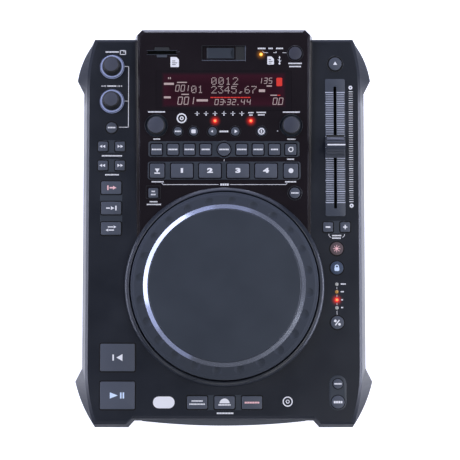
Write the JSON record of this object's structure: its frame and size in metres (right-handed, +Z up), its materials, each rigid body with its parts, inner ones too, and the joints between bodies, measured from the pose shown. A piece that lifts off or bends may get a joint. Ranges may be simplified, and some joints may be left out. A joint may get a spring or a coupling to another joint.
{
  "type": "tabletop dj disc player",
  "caption": "Low tabletop player for discs and memory sticks with a large jog wheel, pitch fader, raised display panel, effect and cue keys and a slot at the front.",
  "frame": {"origin": "centre of the bounding box at the bottom of the feet", "axes": "+X to the player's right, +Y to the rear, +Z up"},
  "size_m": [0.2712, 0.3578, 0.104],
  "materials": {
    "case plastic": "fine textured",
    "gloss panel": "polished",
    "display and board": "smoked window over a board",
    "fascia plastic": "satin",
    "bearing steel": "turned",
    "jack metal": "plated",
    "drive steel": "pressed sheet",
    "circuit board": "lacquered",
    "foot rubber": "matt",
    "screw steel": "blackened",
    "jog plastic": "metallic satin",
    "jog plate plastic": "satin",
    "fader cap plastic": "satin",
    "knob rubber": "soft",
    "small knob plastic": "satin",
    "lid plastic": "satin",
    "switch plastic": "smooth",
    "key plastic": "satin"
  },
  "bodies": {
    "case": {"bottom_case": "case plastic", "top_case": "case plastic", "centre_panel": "gloss panel", "display_module": "display and board", "front_fascia": "fascia plastic", "jog_bearing": "bearing steel", "rear_jacks": "jack metal", "disc_drive": "drive steel", "circuit_boards": "circuit board", "rubber_feet": "foot rubber", "case_screws": "screw steel"},
    "jog": {"jog_wheel": "jog plastic", "jog_plate": "jog plate plastic"},
    "pitch fader": {"pitch_fader_cap": "fader cap plastic"},
    "folder dial": {"folder_knob": "knob rubber"},
    "track dial": {"track_knob": "knob rubber"},
    "time dial": {"time_knob": "small knob plastic"},
    "ratio dial": {"ratio_knob": "small knob plastic"},
    "port lid": {"port_lid": "lid plastic"},
    "power rocker": {"power_switch": "switch plastic"},
    "play key": {"play_button": "key plastic"},
    "cue key": {"cue_button": "key plastic"},
    "loop in key": {"loop_in_button": "key plastic"},
    "loop out key": {"loop_out_button": "key plastic"},
    "reloop key": {"reloop_button": "key plastic"},
    "advance key": {"advance_button": "key plastic"},
    "track back key": {"track_back_button": "key plastic"},
    "track forward key": {"track_forward_button": "key plastic"},
    "search back key": {"search_back_button": "key plastic"},
    "search forward key": {"search_forward_button": "key plastic"},
    "eject key": {"eject_button": "key plastic"},
    "pitch down key": {"pitch_down_button": "key plastic"},
    "pitch up key": {"pitch_up_button": "key plastic"},
    "tempo lock key": {"tempo_lock_button": "key plastic"},
    "key lock key": {"key_lock_button": "key plastic"},
    "range key": {"range_button": "key plastic"},
    "bpm key": {"bpm_button": "key plastic"},
    "tap key": {"tap_button": "key plastic"},
    "jog mode 1 key": {"jog_mode_1_button": "key plastic"},
    "jog mode 2 key": {"jog_mode_2_button": "key plastic"},
    "jog mode 3 key": {"jog_mode_3_button": "key plastic"},
    "source key": {"source_button": "key plastic"},
    "hold key": {"hold_button": "key plastic"},
    "memory key": {"memory_button": "key plastic"},
    "sampler key": {"sampler_button": "key plastic"},
    "bank key": {"bank_button": "key plastic"},
    "dump key": {"dump_button": "key plastic"},
    "effect 1 key": {"effect_1_button": "key plastic"},
    "effect 2 key": {"effect_2_button": "key plastic"},
    "effect 3 key": {"effect_3_button": "key plastic"},
    "effect 4 key": {"effect_4_button": "key plastic"},
    "effect 5 key": {"effect_5_button": "key plastic"},
    "effect 6 key": {"effect_6_button": "key plastic"},
    "effect 7 key": {"effect_7_button": "key plastic"},
    "effect 8 key": {"effect_8_button": "key plastic"},
    "hot cue 1 key": {"hot_cue_1_button": "key plastic"},
    "hot cue 2 key": {"hot_cue_2_button": "key plastic"},
    "hot cue 3 key": {"hot_cue_3_button": "key plastic"},
    "hot cue 4 key": {"hot_cue_4_button": "key plastic"},
    "display keys": {"display_keys": "key plastic"}
  },
  "joints": [
    {"name": "jog spin", "type": "hinge", "parent": "case", "child": "jog", "pos_m": [0.0008, -0.0516, 0.09], "axis": [0, 0, 1], "continuous": true},
    {"name": "pitch slide", "type": "slide", "parent": "case", "child": "pitch fader", "axis": [0, 1, 0], "range_m": [-0.0505, 0.0495]},
    {"name": "folder turn", "type": "hinge", "parent": "case", "child": "folder dial", "pos_m": [-0.1012, 0.1473, 0.08], "axis": [0, 0, 1], "continuous": true},
    {"name": "track turn", "type": "hinge", "parent": "case", "child": "track dial", "pos_m": [-0.1012, 0.1158, 0.08], "axis": [0, 0, 1], "continuous": true},
    {"name": "time turn", "type": "hinge", "parent": "case", "child": "time dial", "pos_m": [-0.0606, 0.09255, 0.08852], "axis": [0, -0.059, 0.9983], "continuous": true},
    {"name": "ratio turn", "type": "hinge", "parent": "case", "child": "ratio dial", "pos_m": [0.0606, 0.09255, 0.08852], "axis": [0, -0.059, 0.9983], "continuous": true},
    {"name": "port lid hinge", "type": "hinge", "parent": "case", "child": "port lid", "pos_m": [-0.01465, 0.15777, 0.09353], "axis": [0, -0.9983, -0.059], "range_deg": [0, 110]},
    {"name": "power rock", "type": "hinge", "parent": "case", "child": "power rocker", "pos_m": [0.07, 0.1664, 0.029], "axis": [0, 0, 1], "range_deg": [0, 12]},
    {"name": "play press", "type": "slide", "parent": "case", "child": "play key", "axis": [0, 0, -1], "range_m": [0, 0.001], "stiffness_N_per_m": 300, "springref_m": -0.0005},
    {"name": "cue press", "type": "slide", "parent": "case", "child": "cue key", "axis": [0, 0, -1], "range_m": [0, 0.001], "stiffness_N_per_m": 300, "springref_m": -0.0005},
    {"name": "loop in press", "type": "slide", "parent": "case", "child": "loop in key", "axis": [0, 0, -1], "range_m": [0, 0.001], "stiffness_N_per_m": 300, "springref_m": -0.0005},
    {"name": "loop out press", "type": "slide", "parent": "case", "child": "loop out key", "axis": [0, 0, -1], "range_m": [0, 0.001], "stiffness_N_per_m": 300, "springref_m": -0.0005},
    {"name": "reloop press", "type": "slide", "parent": "case", "child": "reloop key", "axis": [0, 0, -1], "range_m": [0, 0.001], "stiffness_N_per_m": 300, "springref_m": -0.0005},
    {"name": "advance press", "type": "slide", "parent": "case", "child": "advance key", "axis": [0, 0, -1], "range_m": [0, 0.001], "stiffness_N_per_m": 300, "springref_m": -0.0005},
    {"name": "track back press", "type": "slide", "parent": "case", "child": "track back key", "axis": [0, 0, -1], "range_m": [0, 0.001], "stiffness_N_per_m": 300, "springref_m": -0.0005},
    {"name": "track forward press", "type": "slide", "parent": "case", "child": "track forward key", "axis": [0, 0, -1], "range_m": [0, 0.001], "stiffness_N_per_m": 300, "springref_m": -0.0005},
    {"name": "search back press", "type": "slide", "parent": "case", "child": "search back key", "axis": [0, 0, -1], "range_m": [0, 0.001], "stiffness_N_per_m": 300, "springref_m": -0.0005},
    {"name": "search forward press", "type": "slide", "parent": "case", "child": "search forward key", "axis": [0, 0, -1], "range_m": [0, 0.001], "stiffness_N_per_m": 300, "springref_m": -0.0005},
    {"name": "eject press", "type": "slide", "parent": "case", "child": "eject key", "axis": [0, 0, -1], "range_m": [0, 0.001], "stiffness_N_per_m": 300, "springref_m": -0.0005},
    {"name": "pitch down press", "type": "slide", "parent": "case", "child": "pitch down key", "axis": [0, 0, -1], "range_m": [0, 0.001], "stiffness_N_per_m": 300, "springref_m": -0.0005},
    {"name": "pitch up press", "type": "slide", "parent": "case", "child": "pitch up key", "axis": [0, 0, -1], "range_m": [0, 0.001], "stiffness_N_per_m": 300, "springref_m": -0.0005},
    {"name": "tempo lock press", "type": "slide", "parent": "case", "child": "tempo lock key", "axis": [0, 0, -1], "range_m": [0, 0.001], "stiffness_N_per_m": 300, "springref_m": -0.0005},
    {"name": "key lock press", "type": "slide", "parent": "case", "child": "key lock key", "axis": [0, 0, -1], "range_m": [0, 0.001], "stiffness_N_per_m": 300, "springref_m": -0.0005},
    {"name": "range press", "type": "slide", "parent": "case", "child": "range key", "axis": [0, 0, -1], "range_m": [0, 0.001], "stiffness_N_per_m": 300, "springref_m": -0.0005},
    {"name": "bpm press", "type": "slide", "parent": "case", "child": "bpm key", "axis": [0, 0, -1], "range_m": [0, 0.001], "stiffness_N_per_m": 300, "springref_m": -0.0005},
    {"name": "tap press", "type": "slide", "parent": "case", "child": "tap key", "axis": [0, 0, -1], "range_m": [0, 0.001], "stiffness_N_per_m": 300, "springref_m": -0.0005},
    {"name": "jog mode 1 press", "type": "slide", "parent": "case", "child": "jog mode 1 key", "axis": [0, 0, -1], "range_m": [0, 0.001], "stiffness_N_per_m": 300, "springref_m": -0.0005},
    {"name": "jog mode 2 press", "type": "slide", "parent": "case", "child": "jog mode 2 key", "axis": [0, 0, -1], "range_m": [0, 0.001], "stiffness_N_per_m": 300, "springref_m": -0.0005},
    {"name": "jog mode 3 press", "type": "slide", "parent": "case", "child": "jog mode 3 key", "axis": [0, 0, -1], "range_m": [0, 0.001], "stiffness_N_per_m": 300, "springref_m": -0.0005},
    {"name": "source press", "type": "slide", "parent": "case", "child": "source key", "axis": [0, 0.059, -0.9983], "range_m": [0, 0.001], "stiffness_N_per_m": 300, "springref_m": -0.0005},
    {"name": "hold press", "type": "slide", "parent": "case", "child": "hold key", "axis": [0, 0.059, -0.9983], "range_m": [0, 0.001], "stiffness_N_per_m": 300, "springref_m": -0.0005},
    {"name": "memory press", "type": "slide", "parent": "case", "child": "memory key", "axis": [0, 0.059, -0.9983], "range_m": [0, 0.001], "stiffness_N_per_m": 300, "springref_m": -0.0005},
    {"name": "sampler press", "type": "slide", "parent": "case", "child": "sampler key", "axis": [0, 0.059, -0.9983], "range_m": [0, 0.001], "stiffness_N_per_m": 300, "springref_m": -0.0005},
    {"name": "bank press", "type": "slide", "parent": "case", "child": "bank key", "axis": [0, 0.059, -0.9983], "range_m": [0, 0.001], "stiffness_N_per_m": 300, "springref_m": -0.0005},
    {"name": "dump press", "type": "slide", "parent": "case", "child": "dump key", "axis": [0, 0.059, -0.9983], "range_m": [0, 0.001], "stiffness_N_per_m": 300, "springref_m": -0.0005},
    {"name": "effect 1 press", "type": "slide", "parent": "case", "child": "effect 1 key", "axis": [0, 0.059, -0.9983], "range_m": [0, 0.001], "stiffness_N_per_m": 300, "springref_m": -0.0005},
    {"name": "effect 2 press", "type": "slide", "parent": "case", "child": "effect 2 key", "axis": [0, 0.059, -0.9983], "range_m": [0, 0.001], "stiffness_N_per_m": 300, "springref_m": -0.0005},
    {"name": "effect 3 press", "type": "slide", "parent": "case", "child": "effect 3 key", "axis": [0, 0.059, -0.9983], "range_m": [0, 0.001], "stiffness_N_per_m": 300, "springref_m": -0.0005},
    {"name": "effect 4 press", "type": "slide", "parent": "case", "child": "effect 4 key", "axis": [0, 0.059, -0.9983], "range_m": [0, 0.001], "stiffness_N_per_m": 300, "springref_m": -0.0005},
    {"name": "effect 5 press", "type": "slide", "parent": "case", "child": "effect 5 key", "axis": [0, 0.059, -0.9983], "range_m": [0, 0.001], "stiffness_N_per_m": 300, "springref_m": -0.0005},
    {"name": "effect 6 press", "type": "slide", "parent": "case", "child": "effect 6 key", "axis": [0, 0.059, -0.9983], "range_m": [0, 0.001], "stiffness_N_per_m": 300, "springref_m": -0.0005},
    {"name": "effect 7 press", "type": "slide", "parent": "case", "child": "effect 7 key", "axis": [0, 0.059, -0.9983], "range_m": [0, 0.001], "stiffness_N_per_m": 300, "springref_m": -0.0005},
    {"name": "effect 8 press", "type": "slide", "parent": "case", "child": "effect 8 key", "axis": [0, 0.059, -0.9983], "range_m": [0, 0.001], "stiffness_N_per_m": 300, "springref_m": -0.0005},
    {"name": "hot cue 1 press", "type": "slide", "parent": "case", "child": "hot cue 1 key", "axis": [0, 0.059, -0.9983], "range_m": [0, 0.001], "stiffness_N_per_m": 300, "springref_m": -0.0005},
    {"name": "hot cue 2 press", "type": "slide", "parent": "case", "child": "hot cue 2 key", "axis": [0, 0.059, -0.9983], "range_m": [0, 0.001], "stiffness_N_per_m": 300, "springref_m": -0.0005},
    {"name": "hot cue 3 press", "type": "slide", "parent": "case", "child": "hot cue 3 key", "axis": [0, 0.059, -0.9983], "range_m": [0, 0.001], "stiffness_N_per_m": 300, "springref_m": -0.0005},
    {"name": "hot cue 4 press", "type": "slide", "parent": "case", "child": "hot cue 4 key", "axis": [0, 0.059, -0.9983], "range_m": [0, 0.001], "stiffness_N_per_m": 300, "springref_m": -0.0005},
    {"name": "display keys press", "type": "slide", "parent": "case", "child": "display keys", "axis": [0, 0.059, -0.9983], "range_m": [0, 0.001], "stiffness_N_per_m": 300, "springref_m": -0.0005}
  ]
}
